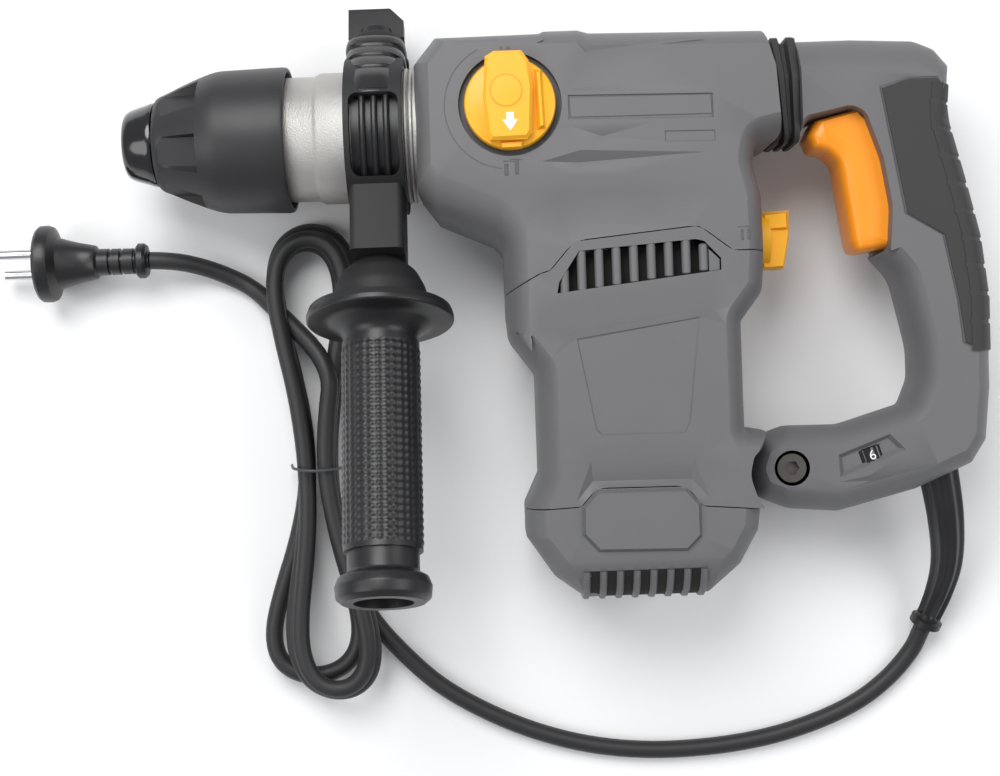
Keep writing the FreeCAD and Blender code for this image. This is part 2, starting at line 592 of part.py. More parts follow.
def cord_tube(label, points, radius, last_radius=None):
    """A tube along straight runs joined by tangent arcs as large as the runs allow."""
    spots = [Vector(*point) for point in points]
    edges = []
    length = 0
    start = spots[0]
    for before, at, after in zip(spots, spots[1:], spots[2:]):
        back = before - at
        on = after - at
        turn = math.pi - back.getAngle(on)
        reach = 0.45 * min(back.Length, on.Length)
        bend = reach / math.tan(turn / 2)
        print(f"{label}: bend radius {bend:.1f} mm")
        back.normalize()
        on.normalize()
        middle = back + on
        middle.normalize()
        top = at + middle * (bend / math.cos(turn / 2) - bend)
        edges.append(Part.LineSegment(start, at + back * reach).toShape())
        edges.append(Part.Arc(at + back * reach, top, at + on * reach).toShape())
        start = at + on * reach
    edges.append(Part.LineSegment(start, spots[-1]).toShape())
    path = Part.Wire(edges)
    ahead = spots[1] - spots[0]
    profile = Part.Wire([Part.makeCircle(radius, spots[0], ahead)])
    tube = path.makePipeShell([profile], True, False)
    if abs(tube.Volume / (math.pi * radius ** 2 * path.Length) - 1) > 0.01:
        raise RuntimeError(f"{label}: the tube's volume is wrong")
    item = doc.addObject("Part::Feature", label)
    item.Label = label
    item.Shape = tube
    place(item)
    bodies.append(item)
    return item


EXIT = (369, -158.3, 0)
BOOT_END = (370, -238, -34)
cord_tube("cord_boot", [EXIT, (374, -184, -6), (377.5, -206, -18), (375.5, -223, -28), BOOT_END], 6.5)
LEAD = [
    BOOT_END, (364.9, -252, -39.6), (354, -265, LAID), (338, -277, LAID), (316, -286.5, LAID),
    (290, -293.5, LAID), (260, -297, LAID), (229, -297, LAID), (198, -292, LAID), (168, -281.5, LAID),
    (141, -267, LAID), (124, -253.5, LAID), (110.5, -240, LAID)]
cord_tube("cord_lead", LEAD, CORD)
PLUG_LEAD = [
    (3, -51, 18.6 - size["barrel_z"]), (14, -51, 18.6 - size["barrel_z"]), (28, -54.5, -36.5),
    (42, -60.5, LAID), (50, -65, LAID), (57.5, -71, LAID)]
cord_tube("cord_plug_lead", PLUG_LEAD, CORD)

# the folded lead: two lobes of loops, drawn in to a waist where it is tied
HANK = [
    (62, -44, 14), (83, -30, 24), (104, -48, 14), (102, -92, 20), (90, -150, 60), (104, -212, 30),
    (113, -246, 18), (92, -273, 20), (62, -268, 22), (46, -236, 30), (64, -176, 40), (67, -152, 20),
    (56, -92, 30), (57, -60, 14)]
TIE_Y = -153
HANK_LOW = 0.1 - size["barrel_z"]
HANK_TOP = HANK_LOW + 28
hank = body("cord_hank")
pad(hank, "Z", HANK_LOW, HANK_TOP - HANK_LOW, HANK)
pocket(hank, "Y", TIE_Y - 1, 2, box(60, HANK_LOW - 1, 69.5, HANK_TOP + 1), box(88, HANK_LOW - 1, 97, HANK_TOP + 1))
tie = body("hank_tie")
pad(tie, "Y", TIE_Y - 1, 2, box(67.5, HANK_LOW - 0.05, 90, HANK_TOP + 1.1))
pocket(tie, "Y", TIE_Y - 2, 4, box(69.5, HANK_LOW, 88, HANK_TOP))

PLUG = dict(y=-51, z=18.6 - size["barrel_z"])
plug = body("plug_body", **PLUG)
turned(plug, "X", [
    (-50, 0), (-50, 17.5, 1), (-47.5, 18.5, 1), (-39, 18.5, 2), (-34, 13, 3), (-22, 7.5, 2), (-22, 6.3),
    (-3.2, 6.3), (-3.2, 8.4), (1.8, 8.4), (1.8, 5.4), (3, 5.4), (3, 0)])
pins = body("plug_pins", **PLUG)
PIN_TURN = math.radians(64)
for side in (-9.5, 9.5):
    pad(pins, "X", -69, 19, circle(side * math.cos(PIN_TURN), side * math.sin(PIN_TURN), 2.4))

# ---------------------------------------------------------------- check and write
doc.recompute()
for item in doc.Objects:
    if {"Invalid", "Error"} & set(item.State):
        raise RuntimeError(f"{item.Name} failed: {item.State}")
os.makedirs("parts", exist_ok=True)
for item in bodies:
    if item.Shape.isNull() or not item.Shape.isValid():
        raise RuntimeError(f"{item.Label}: the shape is not valid")
    item.Shape.exportStep(f"parts/{item.Label}.step")
print(len(bodies), "parts")
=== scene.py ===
import bmesh
import bpy
import json
import math
from mathutils import Euler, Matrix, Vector
from mathutils.geometry import delaunay_2d_cdt


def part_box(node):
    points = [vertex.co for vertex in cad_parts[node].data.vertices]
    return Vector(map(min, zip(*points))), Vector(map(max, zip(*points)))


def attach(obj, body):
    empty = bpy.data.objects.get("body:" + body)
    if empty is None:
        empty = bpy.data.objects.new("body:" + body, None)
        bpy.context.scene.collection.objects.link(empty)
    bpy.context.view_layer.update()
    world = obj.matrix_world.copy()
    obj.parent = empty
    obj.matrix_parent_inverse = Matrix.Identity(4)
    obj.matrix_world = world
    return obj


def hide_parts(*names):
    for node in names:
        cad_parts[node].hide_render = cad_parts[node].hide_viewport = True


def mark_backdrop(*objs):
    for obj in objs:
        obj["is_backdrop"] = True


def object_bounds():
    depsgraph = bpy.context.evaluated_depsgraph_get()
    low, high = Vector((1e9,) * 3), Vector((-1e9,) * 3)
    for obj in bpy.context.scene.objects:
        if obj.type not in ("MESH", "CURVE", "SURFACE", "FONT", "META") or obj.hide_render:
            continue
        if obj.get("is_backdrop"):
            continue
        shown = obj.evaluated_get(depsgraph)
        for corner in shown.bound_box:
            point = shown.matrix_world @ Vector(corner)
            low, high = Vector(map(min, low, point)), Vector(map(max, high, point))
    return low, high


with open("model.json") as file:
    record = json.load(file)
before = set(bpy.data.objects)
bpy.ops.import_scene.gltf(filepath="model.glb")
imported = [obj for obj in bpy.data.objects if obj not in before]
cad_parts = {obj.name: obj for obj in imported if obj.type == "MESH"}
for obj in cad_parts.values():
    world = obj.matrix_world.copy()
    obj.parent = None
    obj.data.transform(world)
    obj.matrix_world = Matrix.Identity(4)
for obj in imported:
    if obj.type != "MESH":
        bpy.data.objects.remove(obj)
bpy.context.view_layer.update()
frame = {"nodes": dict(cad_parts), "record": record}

# Places are worked out in millimetres from the front of the dust cap, on the barrel axis.
CAP_LOW, CAP_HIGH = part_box("dust_cap")
NOSE = Vector((CAP_LOW.x, (CAP_LOW.y + CAP_HIGH.y) / 2, (CAP_LOW.z + CAP_HIGH.z) / 2))
HALF = 45.0                      # half width of the housings
HANDLE_X = 116.0                 # the side handle's band along the barrel
TILT = math.radians(17)          # of the side handle towards the camera
CORD_DIA = 0.0084
LAID = CORD_DIA * 500 + 0.1 - HALF    # height of a lead that lies on the surface


def at(x, y, z=0.0):
    """A point from its millimetres."""
    return NOSE + Vector((x, y, z)) / 1000


# ------------------------------------------------------------------ camera
CAMERA_SPOT = (168.4, -117.9, 750)
camera = bpy.data.objects.new("camera", bpy.data.cameras.new("camera"))
camera.location = at(*CAMERA_SPOT)
camera.rotation_euler = Euler((0, 0, math.radians(-2)))
camera.data.lens = 58.3
camera.data.sensor_width = 36
camera.data.clip_end = 20
bpy.context.scene.collection.objects.link(camera)
bpy.context.scene.camera = camera


# ------------------------------------------------------------------ materials
def material(name, color, rough, *, metal=0.0, tint=0.06, grain=0.0, grain_size=900.0, coat=0.0,
             gloss_play=0.06):
    """A finish whose colour, gloss and surface all vary a little."""
    m = bpy.data.materials.new(name)
    m.use_nodes = True
    nodes = m.node_tree.nodes
    links = m.node_tree.links
    bsdf = nodes["Principled BSDF"]
    bsdf.inputs["Metallic"].default_value = metal
    bsdf.inputs["Coat Weight"].default_value = coat
    bsdf.inputs["Coat Roughness"].default_value = 0.15
    place = nodes.new("ShaderNodeTexCoord")

    def noise(scale, detail):
        node = nodes.new("ShaderNodeTexNoise")
        node.inputs["Scale"].default_value = scale
        node.inputs["Detail"].default_value = detail
        links.new(place.outputs["Object"], node.inputs["Vector"])
        return node

    broad = noise(45, 4)
    mix = nodes.new("ShaderNodeMix")
    mix.data_type = "RGBA"
    mix.inputs[6].default_value = (*[c * (1 - tint) for c in color], 1)
    mix.inputs[7].default_value = (*[min(1, c * (1 + tint)) for c in color], 1)
    links.new(broad.outputs["Fac"], mix.inputs[0])
    links.new(mix.outputs[2], bsdf.inputs["Base Color"])
    play = nodes.new("ShaderNodeMapRange")
    play.inputs[3].default_value = max(0.02, rough - gloss_play)
    play.inputs[4].default_value = min(1.0, rough + gloss_play)
    links.new(broad.outputs["Fac"], play.inputs[0])
    links.new(play.outputs[0], bsdf.inputs["Roughness"])
    if grain:
        fine = noise(grain_size, 3)
        bump = nodes.new("ShaderNodeBump")
        bump.inputs["Strength"].default_value = grain
        bump.inputs["Distance"].default_value = 0.0004
        links.new(fine.outputs["Fac"], bump.inputs["Height"])
        links.new(bump.outputs["Normal"], bsdf.inputs["Normal"])
    return m


SHELL = material("shell_grey", (0.138, 0.138, 0.145), 0.5, grain=0.12, grain_size=2600, tint=0.03)
# A darker shell grey: painted shade for the mode knob's well; the hank's tie wire also wears it.
SHELL_DARK = material("shell_shadow", (0.07, 0.07, 0.073), 0.5, grain=0.12, grain_size=2600, tint=0.03)
BLACK = material("black_plastic", (0.013, 0.013, 0.014), 0.36, grain=0.15, grain_size=2200)
ARM = material("arm_plastic", (0.012, 0.012, 0.013), 0.62, grain=0.15, grain_size=2200)
SLEEVE = material("sleeve_plastic", (0.021, 0.021, 0.0225), 0.45, grain=0.1, grain_size=2400)
GLOSS = material("gloss_black", (0.008, 0.008, 0.009), 0.14, coat=0.5)
SOFT = material("grip_rubber", (0.032, 0.031, 0.031), 0.62, grain=0.2, grain_size=1800)
CORD = material("cord_rubber", (0.022, 0.022, 0.023), 0.5, grain=0.2, grain_size=1500)
YELLOW = material("knob_yellow", (0.95, 0.45, 0.012), 0.36, tint=0.02)
ORANGE = material("trigger_orange", (0.98, 0.32, 0.012), 0.34, tint=0.02)
CAST = material("cast_aluminium", (0.5, 0.49, 0.47), 0.5, metal=0.9, grain=0.75, grain_size=1500, tint=0.25)
STEEL = material("steel", (0.52, 0.5, 0.46), 0.3, metal=1.0, grain=0.15, tint=0.12)
DARK_STEEL = material("blackened_steel", (0.16, 0.15, 0.14), 0.35, metal=1.0, grain=0.15, tint=0.15)
PIN = material("plated_pin", (0.7, 0.7, 0.7), 0.2, metal=1.0, tint=0.04)
COPPER = material("copper", (0.55, 0.25, 0.12), 0.35, metal=0.9, tint=0.15)
IRON = material("laminations", (0.12, 0.12, 0.125), 0.5, metal=0.7, grain=0.3, grain_size=600)
# Near-black painted shade, for the sheet behind each vent and the strips in the end cap's slots.
PAINTED_SHADE = material("vent_shadow", (0.006, 0.006, 0.006), 0.8, tint=0.3)
WHITE = material("print_white", (0.85, 0.85, 0.85), 0.5, tint=0.02)
MARK = material("moulded_mark", (0.09, 0.09, 0.093), 0.55, tint=0.1)


# ------------------------------------------------------------------ making pieces
def finish(obj, skin, body, slot, *nodes, smooth=35):
    """Gives a piece its material, smoothing, body and CAD nodes."""
    skins = skin if isinstance(skin, (list, tuple)) else [skin]
    for one in skins:
        obj.data.materials.append(one)
    if obj.type == "MESH" and smooth:
        obj.data.polygons.foreach_set("use_smooth", [True] * len(obj.data.polygons))
        obj.data.set_sharp_from_angle(angle=math.radians(smooth))
    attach(obj, body)
    if nodes:
        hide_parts(*nodes)
    return obj


def piece(name, points, faces):
    """A mesh object from points in the row frame."""
    mesh = bpy.data.meshes.new(name)
    mesh.from_pydata([tuple(p) for p in points], [], faces)
    bm = bmesh.new()
    bm.from_mesh(mesh)
    bmesh.ops.remove_doubles(bm, verts=bm.verts, dist=1e-6)
    bmesh.ops.recalc_face_normals(bm, faces=bm.faces)
    bm.to_mesh(mesh)
    bm.free()
    obj = bpy.data.objects.new(name, mesh)
    bpy.context.scene.collection.objects.link(obj)
    return obj


def bevel(obj, width, segments=2, angle=30):
    """Rounds the sharp edges, width in millimetres."""
    mod = obj.modifiers.new("edges", "BEVEL")
    mod.width = width / 1000
    mod.segments = segments
    mod.limit_method = "ANGLE"
    mod.angle_limit = math.radians(angle)
    mod.harden_normals = False
    return obj


def corner_points(points, depth, steps=5):
    """The outline moved in by depth (times each edge's own share), its corners rounded.

    points are (x, y, corner radius, share of the edge that starts here), clockwise.
    """
    moved = []
    n = len(points)
    for i in range(n):
        p = Vector(points[i][:2])
        into = (p - Vector(points[i - 1][:2])).normalized()
        out = (Vector(points[(i + 1) % n][:2]) - p).normalized()
        a = depth * points[i - 1][3]
        b = depth * points[i][3]
        normal_in = Vector((into.y, -into.x))
        normal_out = Vector((out.y, -out.x))
        cross = into.x * out.y - into.y * out.x
        if abs(cross) < 0.05:
            moved.append(p + (normal_in * a + normal_out * b) / 2)
            continue
        start = p + normal_in * a
        along = ((p + normal_out * b) - start)
        reach = (along.x * out.y - along.y * out.x) / cross
        moved.append(start + into * reach)
    ring = []
    for i in range(n):
        p = moved[i]
        before = moved[i - 1] - p
        after = moved[(i + 1) % n] - p
        bulge = before.x * after.y - before.y * after.x
        radius = points[i][2] + (-depth if bulge > 0 else depth) * min(1, points[i][2])
        turn = before.angle(after, math.pi)
        radius = max(radius, 0.4)
        reach = min(radius / max(math.tan(turn / 2), 1e-3), 0.48 * before.length, 0.48 * after.length)
        first = p + before.normalized() * reach
        last = p + after.normalized() * reach
        for k in range(steps):
            t = k / (steps - 1)
            ring.append(first * (1 - t) ** 2 + p * 2 * t * (1 - t) + last * t ** 2)
    return ring


def inside(point, polygon):
    """Whether a flat point lies in a polygon."""
    x, y = point
    hit = False
    for i in range(len(polygon)):
        x0, y0 = polygon[i - 1][:2]
        x1, y1 = polygon[i][:2]
        if (y0 > y) != (y1 > y) and x < (x1 - x0) * (y - y0) / (y1 - y0) + x0:
            hit = not hit
    return hit


def plan(x0, y0, x1, y1):
    """A rectangle as a polygon."""
    return [(x0, y0), (x0, y1), (x1, y1), (x1, y0)]


def shrunk(polygon, depth):
    """The polygon moved in by a depth all round."""
    return [tuple(p) for p in corner_points([(*p[:2], 0.01, 1) for p in polygon], depth, 2)[::2]]


def cap_faces(ring, height, details, holes):
    """One flat side, with reliefs: details are (polygon, height change), holes are cut out."""
    spots = [Vector(p) for p in ring]
    tops = [height] * len(ring)
    edges = [(i, (i + 1) % len(ring)) for i in range(len(ring))]
    for polygon, change in [*details, *((hole, 0) for hole in holes)]:
        first = len(spots)
        for p in polygon:
            spots.append(Vector(p[:2]))
            tops.append(height + (p[2] if len(p) > 2 else change))
        edges += [(first + i, first + (i + 1) % len(polygon)) for i in range(len(polygon))]
    verts, _, faces, origin, _, _ = delaunay_2d_cdt(spots, edges, [], 1, 1e-4)
    heights = [tops[o[0]] if o else height for o in origin]
    kept = []
    for face in faces:
        middle = sum((verts[i] for i in face), Vector((0, 0))) / len(face)
        if not any(inside(middle, hole) for hole in holes):
            kept.append(face)
    return verts, heights, kept


def shell(name, outline, profile, details=(), holes=(), halves=(-1, 1), steps=5, far_holes=()):
    """A moulded housing: the outline climbs the profile of (inset, height) to a flat relief side."""
    points, faces = [], []
    for side in halves:
        rings = [corner_points(outline, depth, steps) for depth, _ in profile]
        count = len(rings[0])
        first = len(points)
        for ring, (_, height) in zip(rings, profile):
            points += [at(p.x, p.y, side * height) for p in ring]
        for level in range(len(profile) - 1):
            for i in range(count):
                j = (i + 1) % count
                low, high = first + level * count, first + (level + 1) * count
                faces.append((low + i, low + j, high + j, high + i))
        relief = details if side > 0 else [
            ([(*p[:2], min(p[2] if len(p) > 2 else 0, 0)) for p in polygon], min(change, 0))
            for polygon, change in details]
        verts, heights, kept = cap_faces(rings[-1], profile[-1][1], relief, holes if side > 0 else far_holes)
        base = len(points)
        points += [at(v.x, v.y, side * h) for v, h in zip(verts, heights)]
        faces += [tuple(base + i for i in face) for face in kept]
    return piece(name, points, faces)


def block(name, polygon, low, high, taper=0.0):
    """A small prism between two heights, its top drawn in by the taper."""
    top = shrunk(polygon, taper) if taper else [p[:2] for p in polygon]
    count = len(polygon)
    points = [at(p[0], p[1], low) for p in polygon] + [at(*p, high) for p in top]
    faces = [tuple(range(count)), tuple(range(count, 2 * count))]
    faces += [(i, (i + 1) % count, count + (i + 1) % count, count + i) for i in range(count)]
    return piece(name, points, faces)


def joined(name, objects):
    """Several meshes as one object."""
    bm = bmesh.new()
    for obj in objects:
        bm.from_mesh(obj.data)
        mesh = obj.data
        bpy.data.objects.remove(obj)
        bpy.data.meshes.remove(mesh)
    mesh = bpy.data.meshes.new(name)
    bm.to_mesh(mesh)
    bm.free()
    obj = bpy.data.objects.new(name, mesh)
    bpy.context.scene.collection.objects.link(obj)
    return obj


def rod(name, start, stop, radius, segments=16):
    """A round bar between two points in the row frame, with rounded ends."""
    axis = stop - start
    turn = axis.to_track_quat("Z", "Y").to_matrix()
    points, faces = [], []
    shape = [(0, 0.3), (0.12 * radius, 0.75), (0.4 * radius, 1), (axis.length - 0.4 * radius, 1),
             (axis.length - 0.12 * radius, 0.75), (axis.length, 0.3)]
    for along, share in shape:
        for k in range(segments):
            a = 2 * math.pi * k / segments
            offset = Vector((radius * share * math.cos(a), radius * share * math.sin(a), along))
            points.append(start + turn @ offset)
    for level in range(len(shape) - 1):
        for k in range(segments):
            j = (k + 1) % segments
            faces.append((level * segments + k, level * segments + j, (level + 1) * segments + j,
                          (level + 1) * segments + k))
    faces.append(tuple(range(segments)))
    faces.append(tuple(range(len(points) - segments, len(points))))
    return piece(name, points, faces)


def tube_mesh(name, route, section, rings=80):
    """A tube along a smooth route; section(share of length, angle) gives its radius in mm."""
    curve = [Vector(p) for p in route]

    def spot(t):
        f = t * (len(curve) - 1)
        i = min(int(f), len(curve) - 2)
        u = f - i
        p0, p1 = curve[max(i - 1, 0)], curve[i]
        p2, p3 = curve[i + 1], curve[min(i + 2, len(curve) - 1)]
        return 0.5 * ((2 * p1) + (p2 - p0) * u + (2 * p0 - 5 * p1 + 4 * p2 - p3) * u * u
                      + (3 * p1 - p0 - 3 * p2 + p3) * u ** 3)

    segments = 64
    points, faces = [], []
    for r in range(rings):
        t = r / (rings - 1)
        ahead = (spot(min(t + 0.01, 1)) - spot(max(t - 0.01, 0))).normalized()
        across = ahead.cross(Vector((0, 0, 1))).normalized()
        up = across.cross(ahead)
        for k in range(segments):
            a = 2 * math.pi * k / segments
            radius = section(t, a) / 1000
            points.append(spot(t) + (across * math.cos(a) + up * math.sin(a)) * radius)
    for r in range(rings - 1):
        for k in range(segments):
            j = (k + 1) % segments
            faces.append((r * segments + k, r * segments + j, (r + 1) * segments + j, (r + 1) * segments + k))
    faces.append(tuple(range(segments)))
    faces.append(tuple(range(len(points) - segments, len(points))))
    return piece(name, points, faces)


# ------------------------------------------------------------------ cord
LEAD = [
    (370, -238, -34), (367.6, -244.5, -36.9), (364.9, -252, -39.6), (354, -265, LAID), (338, -277, LAID),
    (316, -286.5, LAID), (290, -293.5, LAID), (260, -297, LAID), (229, -297, LAID), (198, -292, LAID),
    (168, -281.5, LAID), (141, -267, LAID), (124, -253.5, LAID)]
PLUG_LEAD = [
    (60, -75, -36), (51, -66, LAID), (42, -60.5, LAID), (28, -54.5, -36.5), (14, -51.3, -27.5),
    (3, -51, -26.4)]
WAIST_Y = -153
HANK_TURNS = [                    # bottom middle x and y, top middle x and y, swing of the two lobes
    (76, -263, 79, -35.5, 58, 44), (75, -252, 77, -45, 47, 35), (90, -265, 78, -40, 38, 40),
    (86, -258, 79, -50, 36, 32)]
TURN_RISE = 6.2
START_ANGLE = math.radians(-42)
STOP_ANGLE = math.radians(6 * 180 + 28)


def hank_point(angle):
    """A place on the hank: long narrow turns, wide at both ends and drawn in at the tie."""
    share = min(max(angle / (2 * math.pi), 0), 2.999)
    i = int(share)
    u = share - i
    bx, by, tx, ty, bs, ts = (a * (1 - u) + b * u for a, b in zip(HANK_TURNS[i], HANK_TURNS[i + 1]))
    rise = math.sin(angle)
    end_x, end_y, swing = (tx, ty, ts) if rise > 0 else (bx, by, bs)
    y = WAIST_Y + (end_y - WAIST_Y) * abs(rise)
    half = 4.5 + swing * rise * rise
    x = 79 + (end_x - 79) * abs(rise) + half * math.cos(angle)
    return (x, y, LAID + TURN_RISE * (angle - START_ANGLE) / (2 * math.pi))


HANK_STEPS = 76
HANK = [hank_point(START_ANGLE + (STOP_ANGLE - START_ANGLE) * k / HANK_STEPS) for k in range(HANK_STEPS + 1)]
ROUTE = [at(*p) for p in LEAD + HANK + PLUG_LEAD]
cord_curve = bpy.data.curves.new("cord", "CURVE")
cord_curve.dimensions = "3D"
spline = cord_curve.splines.new("NURBS")
spline.points.add(len(ROUTE) - 1)
for point, spot in zip(spline.points, ROUTE):
    point.co = (*spot, 1)
spline.order_u = 3
spline.use_endpoint_u = True
cord_curve.bevel_depth = CORD_DIA / 2
cord_curve.bevel_resolution = 5
cord_curve.resolution_u = 6
cord_curve.use_fill_caps = True
cord = bpy.data.objects.new("cord", cord_curve)
bpy.context.scene.collection.objects.link(cord)
finish(cord, CORD, "rear_handle", "cord_rubber", "cord_lead", "cord_hank", "cord_plug_lead", smooth=0)
BOOT = [
    at(369, -158.3, 0), at(374, -184, -6), at(377.2, -206, -18), at(375.5, -223, -28), at(370, -239, -34.4)]


def boot_section(t, a):
    if t > 0.94:
        return 7.6
    flute = 0.5 - 0.5 * math.cos(7 * a)
    return 9.6 - 4.0 * t - (1.5 * flute if 0.05 < t < 0.91 else 0)


boot = tube_mesh("boot", BOOT, boot_section, 90)
finish(boot, BLACK, "rear_handle", "cord_rubber", "cord_boot")

# the wire tie round the waist of the hank
TIE = [(66, -152, -38), (70, -153, -19), (80, -154, -14), (90, -153.5, -19), (93, -153, -38)]
tie = tube_mesh("tie_wire", [at(*p) for p in TIE], lambda t, a: 0.7, 24)
finish(tie, SHELL_DARK, "rear_handle", "steel", "hank_tie")

# ------------------------------------------------------------------ housings
EDGE = [(0, 0), (0, 20), (0.4, 28), (1.6, 34), (3.6, 39), (6.2, 42.8), (8.5, 44.6), (9.2, 45)]
GEAR = [
    (134.5, 27, 2, 0.8), (144, 38.5, 3, 0.6), (190, 38.9, 4, 0.7), (194, 40.5, 3, 1), (208, 40.5, 3, 1),
    (213, 39, 3, 1), (289, 37.5, 0.5, 0.12), (294.5, 19, 6, 0.12), (296.5, -11, 2, 1), (286, -13, 3, 1),
    (284.5, -22, 4, 1), (288, -36, 20, 1), (288.3, -61.3, 0.3, 0.015), (272, -61.3, 4, 0.015),
    (257.5, -50, 4, 0.015), (203, -55, 5, 0.015), (192, -67.5, 4, 0.015), (188, -68.5, 8, 0.015),
    (172, -77, 0.3, 1.2), (172, -56, 7, 1.6), (168, -51.5, 5, 1.8), (143, -40.5, 4, 1.3),
    (134.5, -29, 3, 0.8)]
KNOB_X, KNOB_Y = 177.0, 5.5
KNOB_RECESS = [(KNOB_X + 22.6 * math.cos(-a * math.pi / 24), KNOB_Y + 22.6 * math.sin(-a * math.pi / 24))
               for a in range(48)]


def sunk(x0, y0, x1, y1, depth=-0.8, skew=0.0):
    """A shallow rectangular field with a sharp step all round."""
    outer = [(x0, y0), (x0, y1), (x1, y1 - skew), (x1, y0 - skew)]
    inner = [(x0 + 0.35, y0 + 0.35), (x0 + 0.35, y1 - 0.35), (x1 - 0.35, y1 - 0.35 - skew),
             (x1 - 0.35, y0 + 0.35 - skew)]
    return [(outer, 0.0), (inner, depth)]


GEAR_DETAILS = [
    *sunk(202.3, -2, 265.5, 8.6, skew=1.2), *sunk(244, -13.2, 266, -8.4, depth=-0.5, skew=0.3),
    ([(201.5, 10.4), (262, 9.4), (263, 9.8), (224, 14.9, -2.8)], 0),
    ([(201.5, -4.5), (240, -4.2), (240, -5.4), (217, -9.4, -2.6)], 0),
    ([(190, -20), (207, -15.6, 0.2), (263, -17.4), (262, -18.2), (206, -20.6, -2.8)], 0),
    ([(184, -33.6), (200, -26.6, 0.1), (226, -27.0, 0.1), (270, -33.2), (226, -33.6, -2.8),
      (196, -34.6, -2.8)], 0),
    ([(211, 26.5), (262, 31), (262, 31.8), (211, 27.6, -0.6)], 0)]
gear = shell("gear_shell", GEAR, EDGE, GEAR_DETAILS, [KNOB_RECESS])
finish(gear, SHELL, "housing", "grey_shell", "gear_housing", smooth=28)
# The knob's well, its floor and its walls, takes the darker shell grey as painted shade inside the recess.
well = [block("w", KNOB_RECESS, HALF - 3.2, HALF - 2.9)]
rim = []
for k in range(48):
    a, b = KNOB_RECESS[k - 1], KNOB_RECESS[k]
    rim.append(piece("r", [at(*a, HALF - 3), at(*b, HALF - 3), at(*b, HALF), at(*a, HALF)], [(0, 1, 2, 3)]))
finish(joined("mode_knob_well", well + rim), SHELL_DARK, "housing", "grey_shell")

MOTOR = [
    (172, -77.2, 0.3, 0.015), (188, -68.7, 8, 0.015), (192, -67.7, 4, 0.015), (203, -55.2, 5, 0.015),
    (257.5, -50.2, 4, 0.015), (272, -61.5, 4, 0.015), (288.3, -61.5, 0.3, 1), (287, -79, 10, 1),
    (277, -92, 3, 1), (277, -140.5, 1, 0.7), (286.5, -140.5, 1.5, 0.3), (284.5, -146, 1, 0.06),
    (278.5, -152, 4, 0.06),
    (276.6, -160, 4, 0.06), (279.3, -168.5, 3, 0.06),
    (283, -174.6, 0.3, 0.015), (255, -172.2, 0.5, 0.015), (248, -163.3, 1, 0.015), (209, -163, 1, 0.015),
    (202, -170.9, 0.5, 0.015), (178, -172, 0.3, 1), (184.7, -158, 4, 1), (184.7, -112, 4, 1),
    (173, -96, 11, 1), (172, -84, 1, 1.2)]
VENT = [
    (194.8, -77.6), (195.8, -72.7), (204.9, -59.4), (255.8, -56), (259.5, -57), (266.5, -64.5),
    (266.5, -69.8)]
LABEL = [(202.5, -97.6), (256.7, -89.9), (250.8, -136), (248.3, -140.4), (212, -140), (209.6, -137.5)]
MOTOR_DETAILS = [
    (LABEL, 0), (shrunk(LABEL, 0.4), -0.6),
    ([(187, -89, 0), (195, -80.5, 0), (262, -73.2, 0), (262, -86.5, -2.6), (200, -95.5, -2.6),
      (188, -95, -1.6)], 0),
    ([(200, -168.6, 0), (207, -151, 0), (252, -151.5, 0), (258, -168.6, 0), (250.8, -160.4, -2.6),
      (207.6, -160, -2.6)], 0)]
motor = shell("motor_shell", MOTOR, EDGE, MOTOR_DETAILS, [VENT], far_holes=[VENT])
finish(motor, SHELL, "housing", "grey_shell", "motor_housing", smooth=28)

CAP = [
    (178, -172.2, 0.3, 0.015), (202, -171.1, 0.5, 0.015), (209, -163.2, 1, 0.015), (248, -163.5, 1, 0.015),
    (255, -172.4, 0.5, 0.015), (283, -174.8, 0.5, 1), (281.5, -185, 3, 1), (273, -200, 3, 1.1),
    (258, -212.5, 3, 1.9), (203.5, -213, 3, 1.1), (190, -203, 3, 1), (182, -191, 3, 0.9), (178, -185, 2, 1)]
HEX = [(202.4, -170.8), (209, -163.6), (248, -164), (254.3, -171), (254.2, -185.4), (247.7, -191.6),
       (208.9, -190.8), (202, -183)]
cap = shell("end_cap_shell", CAP, EDGE, [(HEX, 0), (shrunk(HEX, 1.2), 2.2)])
finish(cap, SHELL, "housing", "grey_shell", "motor_end_cap", smooth=28)
finish(block("cap_cover", HEX, HALF - 1, HALF + 2.6, 1.4), SHELL, "housing", "grey_shell")

# vent fins, with a near-black sheet behind them as painted shade inside the vent
for side, word in ((1, "near"), (-1, "far")):
    fins = []
    for k in range(9):
        x = 198.2 + k * 7.62
        low = -76.6 + k * 0.98
        high = min(-57.4 + k * 0.42, -68.2 + k * 10.4, -54.8 - max(0, k - 7) * 4.5)
        fins.append(rod("f", at(x, low - 1.5, side * 42.8), at(x, high + 1.5, side * 42.8), 0.002, 12))
    fins.append(block("f", [(261.4, -60.5), (266, -65), (266, -69.6), (261.4, -70.2)], side * 40, side * 44))
    finish(joined(f"vent_fins_{word}", fins), SHELL, "housing", "grey_shell")
    shadow = block(f"vent_shadow_{word}", shrunk(VENT, 0.1), side * 33, side * 36)
    finish(shadow, PAINTED_SHADE, "housing", "grey_shell")

CAP_BOTTOM = -212.8
SLOPE = [(0.02, 9), (0.02, 20), (0.76, 28), (3.0, 34), (6.8, 39), (11.8, 42.8), (13.6, 43.5)]


